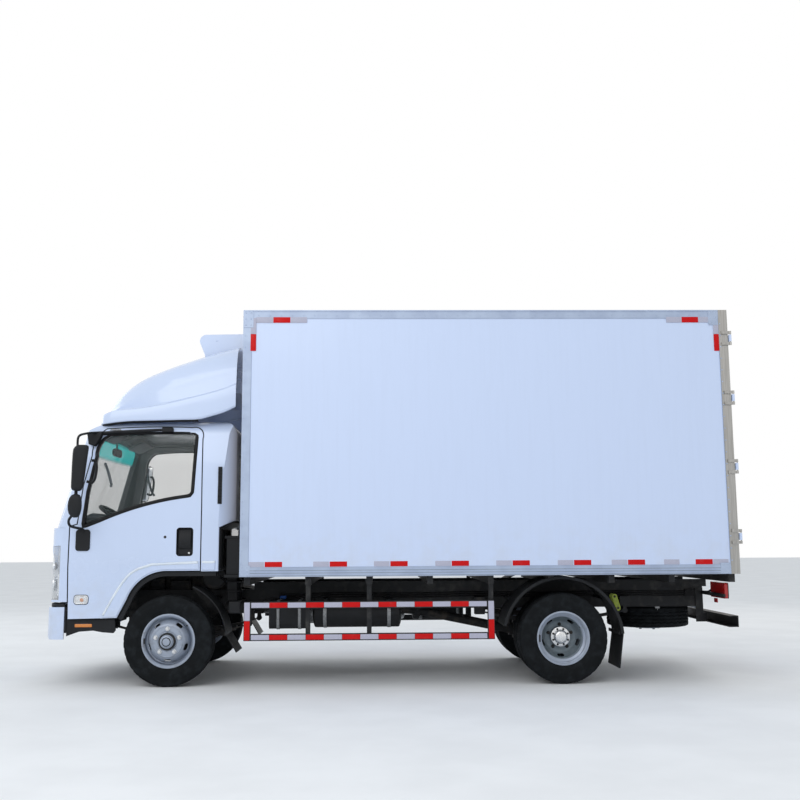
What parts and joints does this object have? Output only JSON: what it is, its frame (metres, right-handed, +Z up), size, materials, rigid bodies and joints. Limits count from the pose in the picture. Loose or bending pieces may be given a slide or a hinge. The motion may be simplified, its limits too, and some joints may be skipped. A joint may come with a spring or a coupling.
{
  "type": "refrigerated truck",
  "caption": "Light cab-over refrigerated truck with a tilting cab, roof fairing, nose-mounted cooling unit and an insulated box with double rear doors.",
  "frame": {"origin": "middle of the truck's length and width, on the ground under the tyres", "axes": "+X towards the truck's rear, +Y towards its right-hand side, +Z up"},
  "size_m": [5.9948, 2.456, 3.216],
  "materials": {
    "cab_paint": "glossy white",
    "box_panel": "satin white, smooth panel",
    "edge_trim": "satin extruded profile",
    "stainless": "brushed",
    "chassis_grey": "satin",
    "cast_dark": "rough",
    "galvanised": "dull zinc",
    "tyre": "matt",
    "wheel_silver": "satin silver",
    "black_plastic": "fine grain",
    "unit_white": "glossy moulding",
    "fairing_white": "glossy white moulding",
    "cabin_grey": "fine grain",
    "seat_fabric": "woven",
    "clear_glass": "clear",
    "lamp_lens": "clear moulded lens",
    "red_lens": "moulded lens",
    "floor_grey": "matt"
  },
  "bodies": {
    "chassis": {"frame_rails": "chassis_grey", "crossmembers": "chassis_grey", "front_axle": "cast_dark", "rear_axle": "cast_dark", "leaf_springs": "cast_dark", "engine_block": "cast_dark", "exhaust": "galvanised", "side_tanks": "black_plastic", "spare_tyre": "tyre", "spare_carrier": "wheel_silver", "front_bumper": "cab_paint", "mudguards": "black_plastic", "side_guards": "edge_trim", "underrun_bar": "chassis_grey", "tail_lamps": "red_lens", "box_base": "galvanised", "box_floor": "floor_grey", "box_front_wall": "box_panel", "box_left_wall": "box_panel", "box_right_wall": "box_panel", "box_roof": "box_panel", "box_rear_frame": "stainless", "box_edge_rails": "edge_trim", "refrigeration_unit": "unit_white", "evaporator": "unit_white"},
    "cab": {"cab_front": "cab_paint", "cab_roof": "cab_paint", "cab_rear": "cab_paint", "cab_floor": "chassis_grey", "cab_glass": "clear_glass", "cab_trim": "black_plastic", "head_lamps": "lamp_lens", "fairing": "fairing_white", "seats": "seat_fabric", "dashboard": "cabin_grey"},
    "left_cab_door": {"left_door": "cab_paint", "left_door_glass": "clear_glass", "left_mirrors": "black_plastic"},
    "right_cab_door": {"right_door": "cab_paint", "right_door_glass": "clear_glass", "right_mirrors": "black_plastic"},
    "steering_wheel": {"steering_wheel": "black_plastic"},
    "left_knuckle": {"left_knuckle": "cast_dark"},
    "right_knuckle": {"right_knuckle": "cast_dark"},
    "tie_rod": {"tie_rod": "cast_dark"},
    "front_left_wheel": {"front_left_tyre": "tyre", "front_left_wheel": "wheel_silver"},
    "front_right_wheel": {"front_right_tyre": "tyre", "front_right_wheel": "wheel_silver"},
    "rear_left_wheels": {"rear_left_tyres": "tyre", "rear_left_wheels": "wheel_silver"},
    "rear_right_wheels": {"rear_right_tyres": "tyre", "rear_right_wheels": "wheel_silver"},
    "rear_left_door": {"rear_left_door": "box_panel"},
    "rear_right_door": {"rear_right_door": "box_panel"}
  },
  "joints": [
    {"name": "cab_tilt", "type": "hinge", "parent": "chassis", "child": "cab", "pos_m": [-2.9375, 0, 0.64], "axis": [0, -1, 0], "range_deg": [0, 45]},
    {"name": "left_cab_door_hinge", "type": "hinge", "parent": "cab", "child": "left_cab_door", "pos_m": [-2.7335, -0.962, 1.2], "axis": [0, 0, -1], "range_deg": [0, 75]},
    {"name": "right_cab_door_hinge", "type": "hinge", "parent": "cab", "child": "right_cab_door", "pos_m": [-2.7335, 0.962, 1.2], "axis": [0, 0, 1], "range_deg": [0, 75]},
    {"name": "left_steer", "type": "hinge", "parent": "chassis", "child": "left_knuckle", "pos_m": [-1.8975, -0.77, 0.38], "axis": [0, 0, 1], "range_deg": [-34, 34]},
    {"name": "right_steer", "type": "hinge", "parent": "chassis", "child": "right_knuckle", "pos_m": [-1.8975, 0.77, 0.38], "axis": [0, 0, 1], "range_deg": [-34, 34]},
    {"name": "tie_rod_end", "type": "hinge", "parent": "left_knuckle", "child": "tie_rod", "pos_m": [-1.7225, -0.77, 0.3], "axis": [0, 0, 1], "range_deg": [-34, 34]},
    {"name": "front_left_spin", "type": "hinge", "parent": "left_knuckle", "child": "front_left_wheel", "pos_m": [-1.8975, -0.885, 0.38], "axis": [0, 1, 0], "continuous": true},
    {"name": "front_right_spin", "type": "hinge", "parent": "right_knuckle", "child": "front_right_wheel", "pos_m": [-1.8975, 0.885, 0.38], "axis": [0, 1, 0], "continuous": true},
    {"name": "rear_left_spin", "type": "hinge", "parent": "chassis", "child": "rear_left_wheels", "pos_m": [1.4625, -0.799, 0.38], "axis": [0, 1, 0], "continuous": true},
    {"name": "rear_right_spin", "type": "hinge", "parent": "chassis", "child": "rear_right_wheels", "pos_m": [1.4625, 0.799, 0.38], "axis": [0, 1, 0], "continuous": true},
    {"name": "rear_left_door_hinge", "type": "hinge", "parent": "chassis", "child": "rear_left_door", "pos_m": [2.9885, -1.128, 2], "axis": [0, 0, -1], "range_deg": [0, 270]},
    {"name": "rear_right_door_hinge", "type": "hinge", "parent": "chassis", "child": "rear_right_door", "pos_m": [2.9885, 1.128, 2], "axis": [0, 0, 1], "range_deg": [0, 270]},
    {"name": "steering_wheel_turn", "type": "hinge", "parent": "cab", "child": "steering_wheel", "pos_m": [-2.4175, -0.62, 1.42], "axis": [0.5299, 0, 0.848], "range_deg": [-510, 510]}
  ],
  "couplings": [
    {"joint": "right_steer", "follows": "left_steer", "ratio": 1},
    {"joint": "tie_rod_end", "follows": "left_steer", "ratio": -1},
    {"joint": "steering_wheel_turn", "follows": "left_steer", "ratio": 15}
  ]
}
